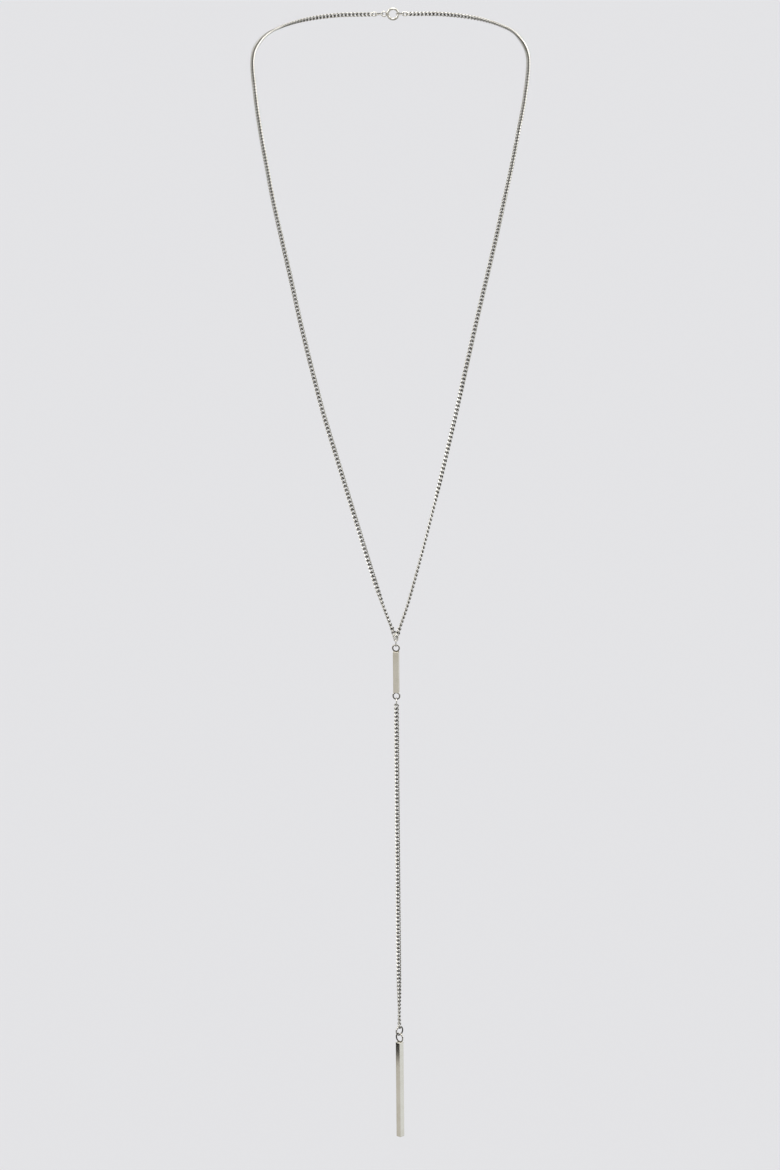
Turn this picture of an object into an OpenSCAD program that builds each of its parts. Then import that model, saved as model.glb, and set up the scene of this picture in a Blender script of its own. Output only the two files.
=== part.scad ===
// Y necklace: a fine curb chain worn as a loop, whose two strands meet at a ring on the chest,
// and a drop of a short square bar, a length of the same chain and a long square bar.
// Millimetres. The front is at -Y and +Z is up. The origin is the middle of the neck opening,
// level with the sides of the neck.

/* [Chain] */
// Wire diameter of a chain link
link_wire = 0.55; // [0.5:0.01:0.58]
// Width of a chain link over its flat face
link_w = 2.2; // [2.15:0.05:2.4]
// Step from one chain link to the next
link_pitch = 1.75; // [1.6:0.05:1.9]
// Slack of one chain link in the next
link_slack = 0.2; // [0.15:0.05:0.35]
// Turn of a link's ends against its middle, in degrees
link_twist = 52; // [48:1:56]
// Number of links in the drop chain
drop_links = 84; // [60:1:90]

/* [Rings] */
// Wire diameter of the junction, chain and clasp rings
ring_wire = 0.5; // [0.4:0.05:0.55]
// Outer diameter of the junction ring
junction_ring_d = 4; // [3.8:0.1:5]
// Distance between the two end links that hang in the junction ring
end_links_apart = 1.4; // [1.3:0.05:1.5]
// Outer diameter of the ring between the upper bar and the drop chain
chain_ring_d = 4; // [3.5:0.1:5]
// Outer diameter of the ring above the pendant bar
pendant_ring_d = 4.5; // [4:0.1:5.5]
// Wire diameter of the ring above the pendant bar
pendant_ring_wire = 0.6; // [0.45:0.05:0.6]

/* [Upper bar] */
// Side of the upper bar's square section
upper_bar_w = 2.5; // [2:0.1:3]
// Length of the upper bar without its eyes
upper_bar_l = 18.2; // [12:0.2:25]
// Turn of the upper bar from face on, in degrees
upper_bar_turn = -8; // [-20:1:20]

/* [Pendant bar] */
// Side of the pendant bar's square section
pendant_w = 2.5; // [2:0.1:3]
// Length of the pendant bar without its eye
pendant_l = 44; // [30:1:60]
// Turn of the pendant bar from face on, in degrees
pendant_turn = -45; // [-60:1:-30]

/* [Eyes] */
// Outer diameter of the upper bar's two eyes
bar_eye_d = 3.5; // [3.2:0.1:4.2]
// Outer diameter of the pendant bar's eye
pendant_eye_d = 4.5; // [3.8:0.1:5.2]
// Wire diameter of the eyes
eye_wire = 0.6; // [0.45:0.05:0.7]
// Depth to which an eye is soldered into its bar
solder = 0.2; // [0.1:0.05:0.25]
// Chamfer along the long edges of the bars
bar_edge = 0.15; // [0.1:0.05:0.3]

/* [Clasp] */
// Outer diameter of the clasp's ring
clasp_d = 6; // [5:0.5:8]
// Thickness of the clasp's ring
clasp_wire = 1.2; // [0.9:0.1:1.4]
// Outer diameter of the clasp's eye
clasp_eye_d = 2.8; // [2.6:0.1:3.6]
// Outer diameter of the jump ring at each side of the clasp
clasp_ring_d = 4; // [3.5:0.1:5]

/* [Fit] */
// Gap at which one ring, eye or link hangs in another
hang_gap = 0.15; // [0.12:0.01:0.2]
// Gap between the end of a neck chain and its end link
chain_gap = 0.15; // [0.1:0.05:0.3]

/* [Place] */
// How far in front of the neck's middle the drop hangs
drop_reach = 138; // [130:1:150]
// How far below the neck's sides the two strands meet
drop_depth = 228.6; // [220:0.2:240]
// How far behind the neck's middle the clasp lies
nape_reach = 64; // [62:0.5:68]
// How far above the neck's sides the clasp lies
nape_rise = 13.5; // [10:0.5:16]

/* [Hidden] */
ring_fn = 48;
silver = [0.80, 0.78, 0.72];

// Points of the two strands from the chest to the nape, chosen by hand
left_route = [[-6, -138, -212], [-12, -136.5, -192.5], [-18, -131.5, -173], [-24, -124, -154],
    [-30, -115.5, -135], [-35, -106.5, -117], [-39.5, -96.5, -100], [-43.5, -85.5, -83.5],
    [-47.5, -73.5, -68], [-51.5, -60, -52.5], [-54.5, -46, -39.5], [-57.5, -31, -26],
    [-60, -14, -12.5], [-61.5, 5, 1.5], [-58, 25, 7.5], [-50.5, 41.5, 10.5], [-39, 54, 12.5],
    [-24, 61.5, 13.5]];
right_route = [[5.5, -138, -212.5], [11, -136.5, -193], [16.5, -131.5, -173], [22, -123.5, -152.5],
    [27, -115, -133.5], [32, -104.5, -114], [36.5, -94.5, -97], [41, -83.5, -81],
    [45, -72.5, -67], [49, -59.5, -52.5], [52.5, -46, -40.5], [56, -31, -27],
    [59.5, -14, -13.5], [61.5, 5, 1], [57.5, 25, 8], [50.5, 41.5, 10.5], [39, 54, 12.5],
    [24, 61.5, 13.5]];

// A link's centre line is an oval with full ends, which the twist turns about its length
link_sides = 14;
wire_sides = 5;
link_fullness = 0.75;
half_link = (link_pitch + link_wire + link_slack) / 2;
half_w = (link_w - link_wire) / 2;

// The neck chains are tubes as wide as the chain, narrower at their ends, where the two strands meet
tube_sides = 8;
rings_a_step = 2;
tube_end = 0.62;

// Turn of the drop chain's flat face at its two ends, and the links over which it turns
top_turn = 26;
bottom_turn = 112;
turn_links = 16;

// Distance between the wire centres of two rings, eyes or links that hang in each other
function hang(wire_a, wire_b) = (wire_a + wire_b) / 2 + hang_gap;

// Heights down the drop, each the centre of a wire unless it says otherwise
ring_top = -drop_depth;
ring_low = ring_top - junction_ring_d + ring_wire;
eye_top = ring_low + hang(ring_wire, eye_wire);
bar_top_face = eye_top - bar_eye_d + eye_wire / 2 + solder;
bar_low_face = bar_top_face - upper_bar_l;
low_eye_top = bar_low_face + solder - eye_wire / 2;
low_eye_low = low_eye_top - bar_eye_d + eye_wire;
chain_ring_top = low_eye_low + hang(eye_wire, ring_wire);
chain_ring_low = chain_ring_top - chain_ring_d + ring_wire;
first_link = chain_ring_low + hang(ring_wire, link_wire) - half_link;
last_link = first_link - (drop_links - 1) * link_pitch;
pendant_ring_top = last_link - half_link + hang(pendant_ring_wire, link_wire);
pendant_ring_low = pendant_ring_top - pendant_ring_d + pendant_ring_wire;
pendant_eye_top = pendant_ring_low + hang(pendant_ring_wire, eye_wire);
pendant_top_face = pendant_eye_top - pendant_eye_d + eye_wire / 2 + solder;

// The clasp's ring and eye lie flat on the nape, and the jump rings stand across them
clasp_eye_x = (clasp_d + clasp_eye_d) / 2 - solder;
left_ring_x = clasp_eye_x + (clasp_eye_d - eye_wire) / 2 - hang(eye_wire, ring_wire)
    + (clasp_ring_d - ring_wire) / 2;
right_ring_x = (clasp_d - clasp_wire) / 2 - hang(clasp_wire, ring_wire)
    + (clasp_ring_d - ring_wire) / 2;
clasp_x = (left_ring_x - right_ring_x) / 2;
clasp_reach = (left_ring_x + right_ring_x + clasp_ring_d - ring_wire) / 2;

// The two end links hang side by side in the junction ring's top, the left one behind
junction_r = (junction_ring_d - ring_wire) / 2;
end_link_angle = asin(end_links_apart / 2 / junction_r);
function ring_hook(side) = [0, -drop_reach - side * end_links_apart / 2,
    ring_top - junction_r * (1 - cos(end_link_angle))];
function nape_hook(side) = [side * clasp_reach, nape_reach, nape_rise];

// Distance from the ring's wire to the end of the link in it, where the link pulls straight and aslant
nape_drop = hang(ring_wire, link_wire);
junction_drop = junction_r * cos(end_link_angle)
    - sqrt(pow(junction_r - nape_drop, 2) - pow(end_links_apart / 2, 2));

function unit(v) = v / norm(v);
function link_centre(hook, next, drop) = hook + unit(next - hook) * (half_link - drop);
function chain_end(hook, next, drop) = link_centre(hook, next, drop)
    + unit(next - hook) * (half_link + link_wire / 2 + chain_gap);
function last(list) = list[len(list) - 1];

// A frame of across, through and along for a direction, with across level with the face
function frame_of(along) = let (t = unit(along), w = unit(cross(t, [0, 1, 0]))) [w, cross(t, w), t];
function frame_turned(angle) = [[cos(angle), sin(angle), 0], [-sin(angle), cos(angle), 0], [0, 0, 1]];

// Catmull-Rom curve through the points, with straight ends
function padded(points) = concat([2 * points[0] - points[1]], points,
    [2 * last(points) - points[len(points) - 2]]);
function on_curve(q, i, t) = 0.5 * (2 * q[i] + (q[i + 1] - q[i - 1]) * t
    + (2 * q[i - 1] - 5 * q[i] + 4 * q[i + 1] - q[i + 2]) * t * t
    + (3 * q[i] - q[i - 1] - 3 * q[i + 1] + q[i + 2]) * t * t * t);
function curve(points, steps) = let (q = padded(points)) concat(
    [for (i = [1 : len(points) - 1], k = [0 : steps - 1]) on_curve(q, i, k / steps)],
    [last(points)]);

// Points of a round section about a place, in the plane of two directions
function section(place, u, v, d, sides) =
    [for (k = [0 : sides - 1]) place + d / 2 * (cos(360 * k / sides) * u + sin(360 * k / sides) * v)];
// Faces between each section and the next
function skin(sections, sides, closed) = let (total = sections * sides)
    [for (i = [0 : sections - (closed ? 1 : 2)], k = [0 : sides - 1])
        let (a = i * sides + k, b = i * sides + (k + 1) % sides)
            each [[a, (a + sides) % total, b], [b, (a + sides) % total, (b + sides) % total]]];

// A twisted link about a place, in a frame of across, through and along
function oval(angle, twist) = let (z = half_link * sin(angle), c = cos(angle),
    r = half_w * sign(c) * pow(abs(c), link_fullness), turn = -twist * z / half_link)
    [r * cos(turn), r * sin(turn), z];
function link_angle(i) = 90 + 360 * i / link_sides;
function link_sections(twist) = [for (i = [0 : link_sides - 1])
    let (p = oval(link_angle(i), twist),
        t = unit(oval(link_angle(i + 1), twist) - oval(link_angle(i - 1), twist)),
        u = unit(p - (p * t) * t))
        each section(p, u, cross(t, u), link_wire, wire_sides)];

module link(place, frame, twist) {
    polyhedron(
        points = [for (p = link_sections(twist)) place + p[0] * frame[0] + p[1] * frame[1] + p[2] * frame[2]],
        faces = skin(link_sides, wire_sides, true));
}

module tube(points, d) {
    count = len(points);
    polyhedron(
        points = [for (i = [0 : count - 1])
            let (f = frame_of(points[min(i + 1, count - 1)] - points[max(i - 1, 0)]),
                share = i == 0 || i == count - 1 ? tube_end : 1)
                each section(points[i], f[0], f[1], d * share, tube_sides)],
        faces = concat(skin(count, tube_sides, false),
            [[for (k = [0 : tube_sides - 1]) k]],
            [[for (k = [tube_sides - 1 : -1 : 0]) (count - 1) * tube_sides + k]]));
}

module strand(route, side) {
    color(silver) tube(curve(concat([chain_end(ring_hook(side), route[0], junction_drop)], route,
        [chain_end(nape_hook(side), last(route), nape_drop)]), rings_a_step), link_w);
}

module end_link(hook, next, drop) {
    color(silver) link(link_centre(hook, next, drop), frame_of(next - hook), 0);
}

// A ring of wire that stands upright, turned from face on
module ring(d, wire, turn) {
    rotate([90, 0, turn]) rotate_extrude($fn = ring_fn) translate([(d - wire) / 2, 0]) circle(d = wire, $fn = ring_fn);
}

// A ring of wire whose top is at a height of the drop
module drop_ring(top, d, wire, turn) {
    translate([0, -drop_reach, top - (d - wire) / 2]) ring(d, wire, turn);
}

// A square bar below a height of the drop, with chamfered long edges
module bar(top, w, l, turn) {
    h = w / 2;
    e = h - bar_edge;
    translate([0, -drop_reach, top - l]) rotate(turn) linear_extrude(l)
        polygon([[h, -e], [h, e], [e, h], [-e, h], [-h, e], [-h, -e], [-e, -h], [e, -h]]);
}

module neck_chain_left() {
    strand(left_route, -1);
}

module neck_chain_right() {
    strand(right_route, 1);
}

module left_end_link() {
    end_link(ring_hook(-1), left_route[0], junction_drop);
}

module right_end_link() {
    end_link(ring_hook(1), right_route[0], junction_drop);
}

module left_clasp_link() {
    end_link(nape_hook(-1), last(left_route), nape_drop);
}

module right_clasp_link() {
    end_link(nape_hook(1), last(right_route), nape_drop);
}

// A jump ring of the clasp lies level, across the clasp's own ring
module clasp_ring(side) {
    color(silver) translate([side * (clasp_reach - (clasp_ring_d - ring_wire) / 2), nape_reach, nape_rise])
        rotate([90, 0, 0]) ring(clasp_ring_d, ring_wire, 0);
}

module left_clasp_ring() {
    clasp_ring(-1);
}

module right_clasp_ring() {
    clasp_ring(1);
}

module clasp() {
    color(silver) translate([clasp_x, nape_reach, nape_rise]) {
        ring(clasp_d, clasp_wire, 0);
        translate([-clasp_eye_x, 0, 0]) ring(clasp_eye_d, eye_wire, 0);
    }
}

module junction_ring() {
    color(silver) drop_ring(ring_top, junction_ring_d, ring_wire, 90);
}

module upper_bar() {
    color(silver) {
        drop_ring(eye_top, bar_eye_d, eye_wire, upper_bar_turn);
        bar(bar_top_face, upper_bar_w, upper_bar_l, upper_bar_turn);
        drop_ring(low_eye_top, bar_eye_d, eye_wire, upper_bar_turn);
    }
}

module chain_ring() {
    color(silver) drop_ring(chain_ring_top, chain_ring_d, ring_wire, 90);
}

module drop_chain() {
    color(silver) for (i = [0 : drop_links - 1]) {
        turn = top_turn * max(0, 1 - i / turn_links)
            + bottom_turn * max(0, 1 - (drop_links - 1 - i) / turn_links);
        link([0, -drop_reach, first_link - i * link_pitch], frame_turned(turn), link_twist);
    }
}

module pendant_ring() {
    color(silver) drop_ring(pendant_ring_top, pendant_ring_d, pendant_ring_wire, pendant_turn + 90);
}

module pendant_bar() {
    color(silver) {
        drop_ring(pendant_eye_top, pendant_eye_d, eye_wire, pendant_turn);
        bar(pendant_top_face, pendant_w, pendant_l, pendant_turn);
    }
}

neck_chain_left();
neck_chain_right();
left_end_link();
right_end_link();
left_clasp_link();
right_clasp_link();
left_clasp_ring();
right_clasp_ring();
clasp();
junction_ring();
upper_bar();
chain_ring();
drop_chain();
pendant_ring();
pendant_bar();
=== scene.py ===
import math
import bpy
from mathutils import Matrix, Vector


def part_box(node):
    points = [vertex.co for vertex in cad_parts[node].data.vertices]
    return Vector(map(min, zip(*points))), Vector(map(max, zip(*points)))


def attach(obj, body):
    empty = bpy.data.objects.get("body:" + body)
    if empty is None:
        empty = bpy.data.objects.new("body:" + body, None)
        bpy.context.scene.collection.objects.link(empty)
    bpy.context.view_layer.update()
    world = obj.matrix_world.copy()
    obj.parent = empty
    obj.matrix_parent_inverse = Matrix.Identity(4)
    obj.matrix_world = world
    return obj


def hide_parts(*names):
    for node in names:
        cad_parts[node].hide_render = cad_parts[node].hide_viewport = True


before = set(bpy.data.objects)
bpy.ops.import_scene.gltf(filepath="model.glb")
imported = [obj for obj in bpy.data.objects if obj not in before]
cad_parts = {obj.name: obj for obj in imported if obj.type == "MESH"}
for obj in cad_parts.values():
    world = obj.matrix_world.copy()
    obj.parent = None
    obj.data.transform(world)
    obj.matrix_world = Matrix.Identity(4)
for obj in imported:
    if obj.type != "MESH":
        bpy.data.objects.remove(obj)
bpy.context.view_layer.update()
mm = 0.001
mergeWithin = 0.0005 * mm

# Small helpers for modelling by hand


def deselectAll():
    bpy.ops.object.select_all(action="DESELECT")


def makeActive(piece):
    deselectAll()
    piece.select_set(True)
    bpy.context.view_layer.objects.active = piece


def settle(piece):
    makeActive(piece)  # the place goes into the mesh and the object stays at the origin
    bpy.ops.object.transform_apply(location=True, rotation=True, scale=True)


def pickVerts(piece, test):
    bpy.ops.object.mode_set(mode="EDIT")
    bpy.ops.mesh.select_mode(type="VERT")
    bpy.ops.mesh.select_all(action="DESELECT")
    bpy.ops.object.mode_set(mode="OBJECT")
    for vert in piece.data.vertices:
        vert.select = test(vert.co)
    bpy.ops.object.mode_set(mode="EDIT")


def pickEdges(piece, test):
    bpy.ops.object.mode_set(mode="EDIT")
    bpy.ops.mesh.select_mode(type="EDGE")
    bpy.ops.mesh.select_all(action="DESELECT")
    bpy.ops.object.mode_set(mode="OBJECT")
    verts = piece.data.vertices
    for edge in piece.data.edges:
        edge.select = test(verts[edge.vertices[0]].co, verts[edge.vertices[1]].co)
    bpy.ops.object.mode_set(mode="EDIT")


def cleanNormals():
    bpy.ops.mesh.select_all(action="SELECT")
    bpy.ops.mesh.remove_doubles(threshold=mergeWithin)
    bpy.ops.mesh.normals_make_consistent(inside=False)
    bpy.ops.object.mode_set(mode="OBJECT")


def applyModifier(piece, kind, **settings):
    makeActive(piece)
    modifier = piece.modifiers.new(kind, kind)
    for key, value in settings.items():
        setattr(modifier, key, value)
    bpy.ops.object.modifier_apply(modifier=modifier.name)


def joinAll(pieces, name):
    deselectAll()
    for piece in pieces:
        piece.select_set(True)
    bpy.context.view_layer.objects.active = pieces[0]
    bpy.ops.object.join()
    joined = bpy.context.view_layer.objects.active
    joined.name = name
    joined.data.name = name
    return joined


def weld(body, part):
    applyModifier(body, "BOOLEAN", operation="UNION", solver="EXACT", object=part)
    bpy.data.objects.remove(part)


def copyTo(master, matrix):
    copy = master.copy()
    copy.data = master.data.copy()
    copy.data.transform(matrix)
    bpy.context.scene.collection.objects.link(copy)
    return copy


def middleOf(node):
    low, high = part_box(node)
    return (low + high) / 2


def dressed(piece, material, slot, body, *nodes):
    piece.data.materials.clear()
    piece.data.materials.append(material)
    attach(piece, body)
    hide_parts(*nodes)


# Camera: a long lens a little above the junction ring, looking down

cameraSet = {
    "place": (-2.3 * mm, -1930 * mm, 258.5 * mm),
    "down": 14.5,  # degrees below level
    "lean": 0.545,  # the frame hangs half a degree off plumb
    "lens": 133.54,
    "reach": 50,
}


def makeCamera(settings):
    data = bpy.data.cameras.new("camera")
    data.lens = settings["lens"]
    data.clip_end = settings["reach"]
    camera = bpy.data.objects.new("camera", data)
    camera.location = settings["place"]
    aim = Matrix.Rotation(math.radians(90 - settings["down"]), 3, "X")
    roll = Matrix.Rotation(math.radians(-settings["lean"]), 3, "Z")
    camera.rotation_euler = (aim @ roll).to_euler()
    bpy.context.scene.collection.objects.link(camera)
    bpy.context.scene.camera = camera


makeCamera(cameraSet)
print("camera set")

# Materials: warm silver plate, with painted shade where a piece's attribute marks its recesses

chainFinish = {
    "color": (0.94, 0.92, 0.86),
    "dull": (0.78, 0.75, 0.675),  # where the plate is rubbed duller
    "deep": (0.030, 0.027, 0.021),  # painted shade inside the links, where they cross and shade each other
    "rough": (0.28, 0.32),  # satin, so that such small links show from afar
    "patch": 260,  # noise scales are per metre
    "scratch": (5200, 5200, 5200),
    "bump": 0.04,
}
findingFinish = {
    "color": (0.84, 0.82, 0.765),
    "dull": (0.60, 0.575, 0.51),
    # painted shade inside the rings' wire
    "deep": (0.035, 0.031, 0.024),
    "rough": (0.12, 0.24),
    "patch": 320,
    "scratch": (3800, 3800, 3800),
    "bump": 0.03,
}
barFinish = {
    "color": (0.81, 0.775, 0.69),
    "dull": (0.74, 0.70, 0.605),
    # painted shade inside the eyes and on the solder beads
    "deep": (0.035, 0.031, 0.024),
    "rough": (0.17, 0.27),
    "patch": 150,
    "scratch": (5200, 5200, 130),  # fine brushing along the bar
    "bump": 0.06,
}
plateNoise = {
    "patchDetail": 3.0,
    "patchRoughness": 0.6,
    "patchFrom": 0.30,  # below this the plate is dull, above patchTo it is bright
    "patchTo": 0.56,
    "scratchDetail": 4.0,
    "scratchRoughness": 0.65,
    "scratchFrom": 0.3,
    "scratchTo": 0.7,
    "scratchDepth": 0.02 * mm,
}


def addNode(tree, kind, inputs=()):
    node = tree.nodes.new(kind)
    for key, value in dict(inputs).items():
        node.inputs[key].default_value = value
    return node


def addPlateColor(tree, coords, finish, noise):
    patches = addNode(tree, "ShaderNodeTexNoise", {
        "Scale": finish["patch"], "Detail": noise["patchDetail"], "Roughness": noise["patchRoughness"]})
    tree.links.new(coords.outputs["Object"], patches.inputs["Vector"])
    tint = addNode(tree, "ShaderNodeValToRGB")
    tint.color_ramp.elements[0].position = noise["patchFrom"]
    tint.color_ramp.elements[0].color = (*finish["dull"], 1)
    tint.color_ramp.elements[1].position = noise["patchTo"]
    tint.color_ramp.elements[1].color = (*finish["color"], 1)
    tree.links.new(patches.outputs["Fac"], tint.inputs["Fac"])
    # painted shade: the attribute mixes the plate colour towards the deep colour where a piece is marked
    shadeMask = addNode(tree, "ShaderNodeAttribute")
    shadeMask.attribute_name = "paintedShade"
    shadeMix = addNode(tree, "ShaderNodeMix")
    shadeMix.data_type = "RGBA"
    tree.links.new(shadeMask.outputs["Fac"], shadeMix.inputs["Factor"])
    tree.links.new(tint.outputs["Color"], shadeMix.inputs["A"])
    shadeMix.inputs["B"].default_value = (*finish["deep"], 1)
    return shadeMix.outputs["Result"]


def addScratches(tree, coords, finish, noise):
    mapping = addNode(tree, "ShaderNodeMapping", {"Scale": finish["scratch"]})
    tree.links.new(coords.outputs["Object"], mapping.inputs["Vector"])
    scratches = addNode(tree, "ShaderNodeTexNoise", {
        "Scale": 1.0, "Detail": noise["scratchDetail"], "Roughness": noise["scratchRoughness"]})
    tree.links.new(mapping.outputs["Vector"], scratches.inputs["Vector"])
    gloss = addNode(tree, "ShaderNodeMapRange", {
        "From Min": noise["scratchFrom"], "From Max": noise["scratchTo"],
        "To Min": finish["rough"][0], "To Max": finish["rough"][1]})
    tree.links.new(scratches.outputs["Fac"], gloss.inputs["Value"])
    bump = addNode(tree, "ShaderNodeBump", {"Strength": finish["bump"], "Distance": noise["scratchDepth"]})
    tree.links.new(scratches.outputs["Fac"], bump.inputs["Height"])
    return gloss.outputs["Result"], bump.outputs["Normal"]


def makeSilver(name, finish, noise):
    material = bpy.data.materials.new(name)
    material.use_nodes = True
    tree = material.node_tree
    shader = tree.nodes["Principled BSDF"]
    shader.inputs["Metallic"].default_value = 1.0
    coords = addNode(tree, "ShaderNodeTexCoord")
    gloss, relief = addScratches(tree, coords, finish, noise)
    tree.links.new(addPlateColor(tree, coords, finish, noise), shader.inputs["Base Color"])
    tree.links.new(gloss, shader.inputs["Roughness"])
    tree.links.new(relief, shader.inputs["Normal"])
    return material


def makeMatte(name, color):
    material = bpy.data.materials.new(name)
    material.use_nodes = True
    shader = material.node_tree.nodes["Principled BSDF"]
    shader.inputs["Base Color"].default_value = (*color, 1)
    shader.inputs["Roughness"].default_value = 1.0
    shader.inputs["Specular IOR Level"].default_value = 0.0
    return material


chainSilver = makeSilver("chainSilver", chainFinish, plateNoise)
findingSilver = makeSilver("findingSilver", findingFinish, plateNoise)
barSilver = makeSilver("barSilver", barFinish, plateNoise)
print("materials made")

# Chain links: a curb link is an oval of wire, pulled long and twisted

curbLink = {
    "wire": 0.62 * mm,
    "width": 2.2 * mm,
    "length": 3.06 * mm,
    "twist": 104,  # degrees from one bow to the other
    "bowSteps": 12,
    "limbCuts": 2,
    "wireSides": 6,
    "shadeRound": (-1.3, -0.3),  # where the painted shade starts and is full, from the outside to the inside
    "shadeAlong": (0.30 * mm, 0.62 * mm),  # and from the link's middle towards its bows
}


def share(value, start, end):
    return max(0, min(1, (value - start) / (end - start)))


# painted shade: darker on the inside of the wire and towards the bows, where the links cross and shade
# each other
def markLinkShade(link, settings, bow, stretch):
    paintedShade = link.data.attributes.new("paintedShade", "FLOAT", "POINT")
    for vert, value in zip(link.data.vertices, paintedShade.data):
        x, y, z = vert.co
        away = math.hypot(x, abs(z) - min(abs(z), stretch))
        inward = (bow - away) / (settings["wire"] / 2)  # 1 on the inside of the wire, -1 on the outside
        value.value = share(inward, *settings["shadeRound"]) * share(abs(z), *settings["shadeAlong"])


def makeLink(name, settings, twist):
    wire = settings["wire"]
    bow = (settings["width"] - wire) / 2
    step = math.pi / settings["bowSteps"]
    stretch = (settings["length"] - wire) / 2 - bow * math.cos(step)
    deselectAll()
    bpy.ops.mesh.primitive_torus_add(
        major_radius=bow, minor_radius=wire / 2, major_segments=settings["bowSteps"],
        minor_segments=settings["wireSides"], rotation=(math.pi / 2, step, 0))
    link = bpy.context.object
    settle(link)
    pickVerts(link, lambda co: co.z > 0)
    bpy.ops.transform.translate(value=(0, 0, stretch))
    bpy.ops.mesh.select_all(action="INVERT")
    bpy.ops.transform.translate(value=(0, 0, -stretch))
    bpy.ops.object.mode_set(mode="OBJECT")
    pickEdges(link, lambda a, b: a.z * b.z < 0)  # the two limbs
    bpy.ops.mesh.subdivide(number_cuts=settings["limbCuts"])
    bpy.ops.object.mode_set(mode="OBJECT")
    if twist:
        markLinkShade(link, settings, bow, stretch)
        whole = settings["twist"] * settings["length"] / (settings["length"] - wire)
        applyModifier(link, "SIMPLE_DEFORM", deform_method="TWIST", deform_axis="Z",
                      angle=-math.radians(whole))
    makeActive(link)
    bpy.ops.object.shade_smooth()
    link.name = name
    return link


twistedLink = makeLink("twistedLink", curbLink, True)
flatLink = makeLink("flatLink", curbLink, False)
print("links modelled,", len(twistedLink.data.polygons), "faces each")

# The two strands of the neck chain, from the junction ring to the clasp

neckChain = {
    "pitch": 1.75 * mm,
    "leadIn": 1.675 * mm,  # from an end link's middle to where the curve starts
    "curveSteps": 16,
    "leftRoute": [
        (-6, -138, -212), (-12, -136.5, -192.5), (-18, -131.5, -173), (-24, -124, -154),
        (-30, -115.5, -135), (-35, -106.5, -117), (-39.5, -96.5, -100), (-43.5, -85.5, -83.5),
        (-47.5, -73.5, -68), (-51.5, -60, -52.5), (-54.5, -46, -39.5), (-57.5, -31, -26),
        (-60, -14, -12.5), (-61.5, 5, 1.5), (-58, 25, 7.5), (-50.5, 41.5, 10.5), (-39, 54, 12.5),
        (-24, 61.5, 13.5)],
    "rightRoute": [
        (5.5, -138, -212.5), (11, -136.5, -193), (16.5, -131.5, -173), (22, -123.5, -152.5),
        (27, -115, -133.5), (32, -104.5, -114), (36.5, -94.5, -97), (41, -83.5, -81),
        (45, -72.5, -67), (49, -59.5, -52.5), (52.5, -46, -40.5), (56, -31, -27),
        (59.5, -14, -13.5), (61.5, 5, 1), (57.5, 25, 8), (50.5, 41.5, 10.5), (39, 54, 12.5),
        (24, 61.5, 13.5)],
    # how far the flat face is turned, in degrees, at some links counted from the junction ring
    "leftRoll": [(1, 42), (3, 90), (8, 97), (16, 0), (165, 0), (178, -60), (190, -122), (202, -160),
                 (210, -185), (216, -218)],
    "rightRoll": [(1, 42), (3, 84), (34, 84), (39, 50), (61, 40), (68, 0), (165, 0), (178, -50),
                  (190, -58), (202, -20), (209, -12), (216, -40)],
}


# a smooth line through all the points, with some steps from each to the next
def smoothCurve(points, steps):
    ends = [2 * points[0] - points[1]] + points + [2 * points[-1] - points[-2]]
    curve = []
    for i in range(1, len(points)):
        a, b, c, d = ends[i - 1:i + 3]
        for k in range(steps):
            t = k / steps
            curve.append(0.5 * (2 * b + (c - a) * t + (2 * a - 5 * b + 4 * c - d) * t ** 2
                                + (3 * b - a - 3 * c + d) * t ** 3))
    return curve + [points[-1]]


# places and directions that are evenly spaced along the line
def alongCurve(curve, count):
    lengths = [0]
    for a, b in zip(curve, curve[1:]):
        lengths.append(lengths[-1] + (b - a).length)
    k = 0
    for i in range(count + 1):
        goal = lengths[-1] * i / count
        while k < len(curve) - 2 and lengths[k + 1] < goal:
            k += 1
        a, b = curve[k], curve[k + 1]
        yield a + (b - a) * (goal - lengths[k]) / (lengths[k + 1] - lengths[k]), (b - a).normalized()


def rollAt(table, number):
    if number <= table[0][0]:
        return table[0][1]
    for (a, rollA), (b, rollB) in zip(table, table[1:]):
        if number <= b:
            return rollA + (rollB - rollA) * (number - a) / (b - a)
    return table[-1][1]


# a link lies along the line, with its flat face to the front when it isn't rolled
def linkMatrix(place, along, roll):
    across = along.cross(Vector((0, 1, 0))).normalized()
    through = along.cross(across)
    turn = math.radians(roll)
    wide = across * math.cos(turn) + through * math.sin(turn)
    deep = through * math.cos(turn) - across * math.sin(turn)
    return Matrix.Translation(place) @ Matrix((wide, deep, along)).transposed().to_4x4()


def makeStrand(side, settings):
    route = [Vector(point) * mm for point in settings[side + "Route"]]
    first, last = middleOf(side + "_end_link"), middleOf(side + "_clasp_link")
    start = first + (route[0] - first).normalized() * settings["leadIn"]
    end = last + (route[-1] - last).normalized() * settings["leadIn"]
    curve = [first] + smoothCurve([start] + route + [end], settings["curveSteps"]) + [last]
    length = sum((b - a).length for a, b in zip(curve, curve[1:]))
    count = round(length / settings["pitch"])
    links = []
    for number, (place, along) in enumerate(alongCurve(curve, count)):
        if number in (0, count):
            links.append(copyTo(flatLink, linkMatrix(place, along, 0)))
        else:
            roll = rollAt(settings[side + "Roll"], number)
            links.append(copyTo(twistedLink, linkMatrix(place, along, roll)))
    strand = joinAll(links, side + "Strand")
    nodes = ("neck_chain_" + side, side + "_end_link", side + "_clasp_link")
    dressed(strand, chainSilver, "chain", "root", *nodes)
    print(side, "strand:", count + 1, "links,", round(length / mm, 1), "mm")


makeStrand("left", neckChain)
makeStrand("right", neckChain)

# The drop's chain, which hangs plumb

dropChain = {
    "links": 84,
    "sourceLength": 3.05 * mm,  # a link's length in the CAD solids
    "topTurn": 26,  # degrees that the chain is turned at its two ends
    "bottomTurn": 112,
    "turnLinks": 16,  # and the links over which each turn fades out
}


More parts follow.
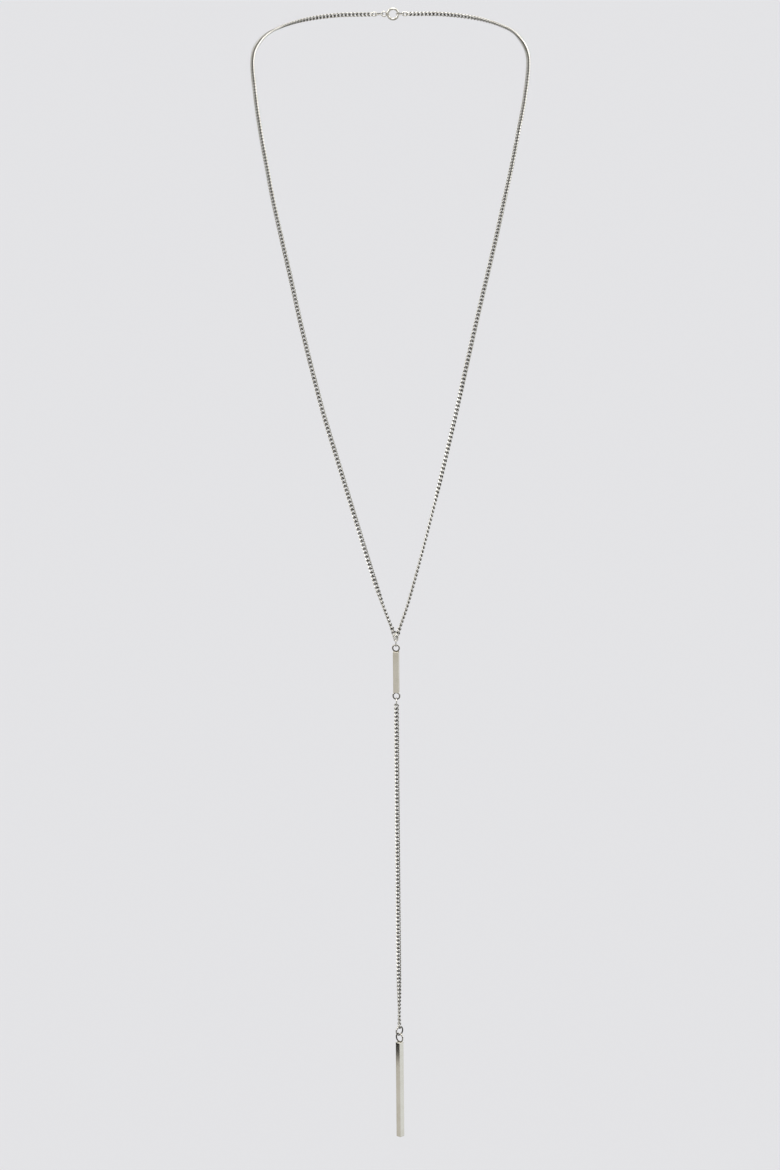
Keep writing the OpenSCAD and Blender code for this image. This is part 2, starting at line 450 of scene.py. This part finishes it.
def makeDropChain(settings):
    low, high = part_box("drop_chain")
    top = high.z - settings["sourceLength"] / 2
    bottom = low.z + settings["sourceLength"] / 2
    last = settings["links"] - 1
    middle = middleOf("drop_chain")
    links = []
    for number in range(settings["links"]):
        turn = (settings["topTurn"] * max(0, 1 - number / settings["turnLinks"])
                + settings["bottomTurn"] * max(0, 1 - (last - number) / settings["turnLinks"]))
        place = Vector((middle.x, middle.y, top + (bottom - top) * number / last))
        matrix = Matrix.Translation(place) @ Matrix.Rotation(math.radians(turn), 4, "Z")
        links.append(copyTo(twistedLink, matrix))
    chain = joinAll(links, "dropChain")
    dressed(chain, chainSilver, "chain", "drop", "drop_chain")


makeDropChain(dropChain)
bpy.data.objects.remove(twistedLink)
bpy.data.objects.remove(flatLink)
print("drop chain made")

# Jump rings: a turn of wire whose two ends are butted, with a hairline between them

jumpRings = {
    "steps": 44,
    "sides": 14,
    "hairline": 0.05 * mm,
    "endRound": 0.04 * mm,
    "endSteps": 2,
    "endAngle": 60,
    "smoothAngle": 40,
    "shadeRound": (-1.2, 0.1),  # where the painted shade starts and is full, from the outside to the inside of the wire
    "shadeMost": 0.95,
    "rings": [
        # name, node, body, outer diameter and wire in mm, turn (None is level), where its ends meet
        ("junctionRing", "junction_ring", "root", 4.0, 0.5, 90, 200),
        ("chainRing", "chain_ring", "drop", 4.0, 0.5, 90, 20),
        ("pendantRing", "pendant_ring", "drop", 4.5, 0.6, 45, 160),
        ("leftClaspRing", "left_clasp_ring", "root", 4.0, 0.5, None, 120),
        ("rightClaspRing", "right_clasp_ring", "root", 4.0, 0.5, None, 240),
    ],
}


# painted shade: darker on the inside of a ring's or an eye's wire, where shade falls
def paintShadeInside(piece, settings, centre, bow, wire, test):
    paintedShade = piece.data.attributes.get("paintedShade") or piece.data.attributes.new("paintedShade", "FLOAT", "POINT")
    for vert, value in zip(piece.data.vertices, paintedShade.data):
        if test(vert.co):
            away = math.hypot(vert.co.x - centre.x, vert.co.z - centre.z)
            inward = (bow - away) / (wire / 2)
            value.value = settings["shadeMost"] * share(inward, *settings["shadeRound"])


def makeJumpRing(settings, outer, wire):
    radius = (outer - wire) / 2
    gap = settings["hairline"] / radius
    deselectAll()
    bpy.ops.mesh.primitive_circle_add(
        vertices=settings["sides"], radius=wire / 2, fill_type="NGON", location=(radius, 0, 0))
    ring = bpy.context.object
    settle(ring)
    bpy.ops.object.mode_set(mode="EDIT")
    bpy.ops.mesh.select_all(action="SELECT")
    bpy.ops.mesh.spin(
        steps=settings["steps"], angle=2 * math.pi - gap, center=(0, 0, 0), axis=(0, 1, 0))
    cleanNormals()
    applyModifier(ring, "BEVEL", width=settings["endRound"], segments=settings["endSteps"],
                  limit_method="ANGLE", angle_limit=math.radians(settings["endAngle"]))
    paintShadeInside(ring, settings, Vector(), radius, wire, lambda co: True)
    bpy.ops.object.shade_smooth_by_angle(angle=math.radians(settings["smoothAngle"]))
    return ring


def makeJumpRings(settings):
    for name, node, body, outer, wire, turn, meet in settings["rings"]:
        ring = makeJumpRing(settings, outer * mm, wire * mm)
        spun = Matrix.Rotation(math.radians(meet), 4, "Y")
        if turn is None:
            stood = Matrix.Rotation(math.radians(90), 4, "X")
        else:
            stood = Matrix.Rotation(math.radians(turn), 4, "Z")
        ring.data.transform(Matrix.Translation(middleOf(node)) @ stood @ spun)
        ring.name = name
        dressed(ring, findingSilver, "findings", body, node)


makeJumpRings(jumpRings)
print("jump rings made")

# Bars with eyes soldered to their ends

barShape = {
    "edge": 0.16 * mm,
    "edgeSteps": 3,
    "eyeSteps": 40,
    "eyeSides": 14,
    "eyeWire": 0.6 * mm,
    "eyeSink": 0.2 * mm,
    "solderWide": 0.62 * mm,
    "solderDeep": 0.44 * mm,
    "solderHigh": 0.34 * mm,
    "solderSteps": 20,
    "solderRings": 12,
    "shadeRound": (-1.2, 0.1),
    "shadeMost": 0.95,
    "shadeClear": 0.01 * mm,  # the end face itself stays bright, with no painted shade
    "smoothAngle": 35,
    "normalWeight": 100,
}
# turn is in degrees about the plumb line, eye is an outer diameter
upperBar = {"side": 2.5 * mm, "length": 18.2 * mm, "turn": -8, "eye": 3.5 * mm}
pendantBar = {"side": 2.5 * mm, "length": 44 * mm, "turn": -45, "eye": 4.5 * mm}


def makeBarBody(shape, bar):
    deselectAll()
    bpy.ops.mesh.primitive_cube_add(size=1)
    body = bpy.context.object
    body.scale = (bar["side"], bar["side"], bar["length"])
    settle(body)
    bpy.ops.object.mode_set(mode="EDIT")
    bpy.ops.mesh.select_mode(type="EDGE")
    bpy.ops.mesh.select_all(action="SELECT")
    bpy.ops.mesh.bevel(
        offset=shape["edge"], segments=shape["edgeSteps"], affect="EDGES", clamp_overlap=False)
    cleanNormals()
    return body


def makeEye(shape, outer):
    deselectAll()
    bpy.ops.mesh.primitive_torus_add(
        major_radius=(outer - shape["eyeWire"]) / 2, minor_radius=shape["eyeWire"] / 2,
        major_segments=shape["eyeSteps"], minor_segments=shape["eyeSides"], rotation=(math.pi / 2, 0, 0))
    eye = bpy.context.object
    settle(eye)
    return eye


def makeSolder(shape):
    deselectAll()
    bpy.ops.mesh.primitive_uv_sphere_add(
        segments=shape["solderSteps"], ring_count=shape["solderRings"], radius=1)
    bead = bpy.context.object
    bead.scale = (shape["solderWide"], shape["solderDeep"], shape["solderHigh"])
    settle(bead)
    return bead


def makeBar(name, shape, bar, ends, place):
    body = makeBarBody(shape, bar)
    for end in ends:
        face = end * bar["length"] / 2
        bead = makeSolder(shape)
        bead.data.transform(Matrix.Translation((0, 0, face)))
        weld(body, bead)
        centre = Vector((0, 0, face + end * (bar["eye"] / 2 - shape["eyeSink"])))
        eye = makeEye(shape, bar["eye"])
        eye.data.transform(Matrix.Translation(centre))
        weld(body, eye)
        bow = (bar["eye"] - shape["eyeWire"]) / 2
        # painted shade inside the eye and on the solder bead beyond the end face
        paintShadeInside(body, shape, centre, bow, shape["eyeWire"],
                   lambda co: co.z * end > abs(face) + shape["shadeClear"])
    body.data.transform(Matrix.Translation(place) @ Matrix.Rotation(math.radians(bar["turn"]), 4, "Z"))
    makeActive(body)
    bpy.ops.object.shade_smooth_by_angle(angle=math.radians(shape["smoothAngle"]))
    applyModifier(body, "WEIGHTED_NORMAL", weight=shape["normalWeight"], keep_sharp=True)
    body.name = name
    return body


def makeBars(shape):
    upper = makeBar("upperBar", shape, upperBar, (1, -1), middleOf("upper_bar"))
    dressed(upper, barSilver, "bars", "drop", "upper_bar")
    low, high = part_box("pendant_bar")
    middle = Vector(((low.x + high.x) / 2, (low.y + high.y) / 2, low.z + pendantBar["length"] / 2))
    pendant = makeBar("pendantBar", shape, pendantBar, (1,), middle)
    dressed(pendant, barSilver, "bars", "pendant", "pendant_bar")


makeBars(barShape)
print("bars made")

# Clasp: a plain closed ring with an eye

claspShape = {
    "ring": 6 * mm,
    "ringWire": 1.2 * mm,
    "ringSteps": 56,
    "ringSides": 20,
    "eye": 2.8 * mm,
    "eyeWire": 0.6 * mm,
    "eyeSteps": 40,
    "eyeSides": 14,
    "eyeSink": 0.2 * mm,
    "smoothAngle": 40,
}


def makeClasp(settings):
    low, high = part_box("clasp")
    centre = Vector((high.x - settings["ring"] / 2, (low.y + high.y) / 2, (low.z + high.z) / 2))
    deselectAll()
    bpy.ops.mesh.primitive_torus_add(
        major_radius=(settings["ring"] - settings["ringWire"]) / 2, minor_radius=settings["ringWire"] / 2,
        major_segments=settings["ringSteps"], minor_segments=settings["ringSides"],
        rotation=(math.pi / 2, 0, 0))
    clasp = bpy.context.object
    settle(clasp)
    eye = makeEye(settings, settings["eye"])
    away = (settings["ring"] + settings["eye"]) / 2 - settings["eyeSink"]
    eye.data.transform(Matrix.Translation((-away, 0, 0)))
    weld(clasp, eye)
    clasp.data.transform(Matrix.Translation(centre))
    makeActive(clasp)
    bpy.ops.object.shade_smooth_by_angle(angle=math.radians(settings["smoothAngle"]))
    clasp.name = "claspRing"
    dressed(clasp, findingSilver, "findings", "root", "clasp")


makeClasp(claspShape)
print("clasp made")

# Floor, light and surroundings

studio = {
    "floorDown": 600 * mm,
    "floorAcross": 60,
    "floorSides": 96,
    "floorColor": (0.80, 0.80, 0.81),
    "paper": (0.965, 0.965, 0.975),  # even light on the floor
    # what the metal mirrors, from straight down to straight up
    "room": [(-1.0, 0.35), (-0.6, 0.50), (-0.42, 0.60), (-0.17, 0.64), (-0.07, 0.35), (0.02, 0.14),
             (0.30, 0.14), (0.5, 1.0), (1.0, 1.4)],
    "roomTint": (1.0, 0.985, 0.95),
    "aside": (0.3, 0.9),  # where the light to the right starts and is full, along +X
    "asideTint": (1.29, 1.36, 1.46),  # the light to the right against that to the left
    # a black flag beside the pendant, which only the metal sees
    "flagPlace": (-0.055, -0.138, -0.4185),
    "flagWidth": 0.12,
    "flagHeight": 0.042,
    "flagColor": (0.01, 0.01, 0.01),
    # soft boxes: name, place, diameter, power
    "boxes": [
        ("topBox", (0.15, -0.55, 1.9), 1.5, 18),
        ("leftBox", (-1.8, -0.7, 0.75), 1.5, 18),
        ("rightBox", (1.9, -0.9, 0.75), 1.3, 14),
        ("backBox", (-0.5, 2.0, 0.9), 1.2, 6),
    ],
    "aim": (0, -0.10, -0.22),
}


def makeFloor(settings):
    deselectAll()
    bpy.ops.mesh.primitive_circle_add(
        vertices=settings["floorSides"], radius=settings["floorAcross"] / 2, fill_type="NGON",
        location=(0, 0, -settings["floorDown"]))
    floor = bpy.context.object
    settle(floor)
    floor.name = "floor"
    floor.visible_glossy = False  # the metal mirrors the room instead
    floor.data.materials.append(makeMatte("floorPaper", settings["floorColor"]))


def makeFlag(settings):
    deselectAll()
    bpy.ops.mesh.primitive_plane_add(size=1, rotation=(0, math.pi / 2, 0))
    flag = bpy.context.object
    flag.scale = (settings["flagHeight"], settings["flagWidth"], 1)
    flag.location = settings["flagPlace"]
    settle(flag)
    flag.name = "flag"
    flag.visible_camera = False
    flag.visible_diffuse = False
    flag.visible_shadow = False
    flag.data.materials.append(makeMatte("flagBlack", settings["flagColor"]))


def makeBoxes(settings):
    for name, place, size, power in settings["boxes"]:
        data = bpy.data.lights.new(name, "AREA")
        data.shape = "DISK"
        data.size = size
        data.energy = power
        lamp = bpy.data.objects.new(name, data)
        lamp.location = place
        toward = Vector(settings["aim"]) - Vector(place)
        lamp.rotation_euler = toward.to_track_quat("-Z", "Y").to_euler()
        lamp.visible_camera = False
        lamp.visible_diffuse = False  # the floor stays even
        bpy.context.scene.collection.objects.link(lamp)


# what the metal mirrors: tones by height, with more light to the right
def addMirroredRoom(tree, settings):
    coords = addNode(tree, "ShaderNodeTexCoord")
    split = addNode(tree, "ShaderNodeSeparateXYZ")
    tree.links.new(coords.outputs["Generated"], split.inputs["Vector"])
    lift = addNode(tree, "ShaderNodeMapRange", {"From Min": -1})
    tree.links.new(split.outputs["Z"], lift.inputs["Value"])
    height = addNode(tree, "ShaderNodeValToRGB")
    tree.links.new(lift.outputs["Result"], height.inputs["Fac"])
    ramp = height.color_ramp
    while len(ramp.elements) < len(settings["room"]):
        ramp.elements.new(0.5)
    for stop, (level, light) in zip(ramp.elements, settings["room"]):
        stop.position = (level + 1) / 2
        stop.color = (*(light * tint for tint in settings["roomTint"]), 1)
    start, full = settings["aside"]
    aside = addNode(tree, "ShaderNodeMapRange", {"From Min": start, "From Max": full})
    aside.interpolation_type = "SMOOTHSTEP"
    tree.links.new(split.outputs["X"], aside.inputs["Value"])
    sides = addNode(tree, "ShaderNodeMix")
    sides.data_type = "RGBA"
    sides.blend_type = "MULTIPLY"
    tree.links.new(aside.outputs["Result"], sides.inputs["Factor"])
    tree.links.new(height.outputs["Color"], sides.inputs["A"])
    sides.inputs["B"].default_value = (*settings["asideTint"], 1)
    room = addNode(tree, "ShaderNodeBackground")
    tree.links.new(sides.outputs["Result"], room.inputs["Color"])
    return room


def addMix(tree, choice, first, second):
    mix = addNode(tree, "ShaderNodeMixShader")
    tree.links.new(choice, mix.inputs["Fac"])
    tree.links.new(first.outputs[0], mix.inputs[1])
    tree.links.new(second.outputs[0], mix.inputs[2])
    return mix


def makeRoom(settings):
    world = bpy.data.worlds.new("room")
    world.use_nodes = True
    bpy.context.scene.world = world
    tree = world.node_tree
    tree.nodes.clear()
    room = addMirroredRoom(tree, settings)
    paper = addNode(tree, "ShaderNodeBackground", {"Color": (*settings["paper"], 1)})
    floorTone = [color * light for color, light in zip(settings["floorColor"], settings["paper"])]
    backdrop = addNode(tree, "ShaderNodeBackground", {"Color": (*floorTone, 1)})  # past the floor's edge
    ray = addNode(tree, "ShaderNodeLightPath")
    mirrored = addMix(tree, ray.outputs["Is Glossy Ray"], paper, room)
    seen = addMix(tree, ray.outputs["Is Camera Ray"], mirrored, backdrop)
    out = addNode(tree, "ShaderNodeOutputWorld")
    tree.links.new(seen.outputs["Shader"], out.inputs["Surface"])


makeFloor(studio)
makeFlag(studio)
makeBoxes(studio)
makeRoom(studio)
bpy.context.scene.view_settings.view_transform = "Standard"
print("floor and light set")
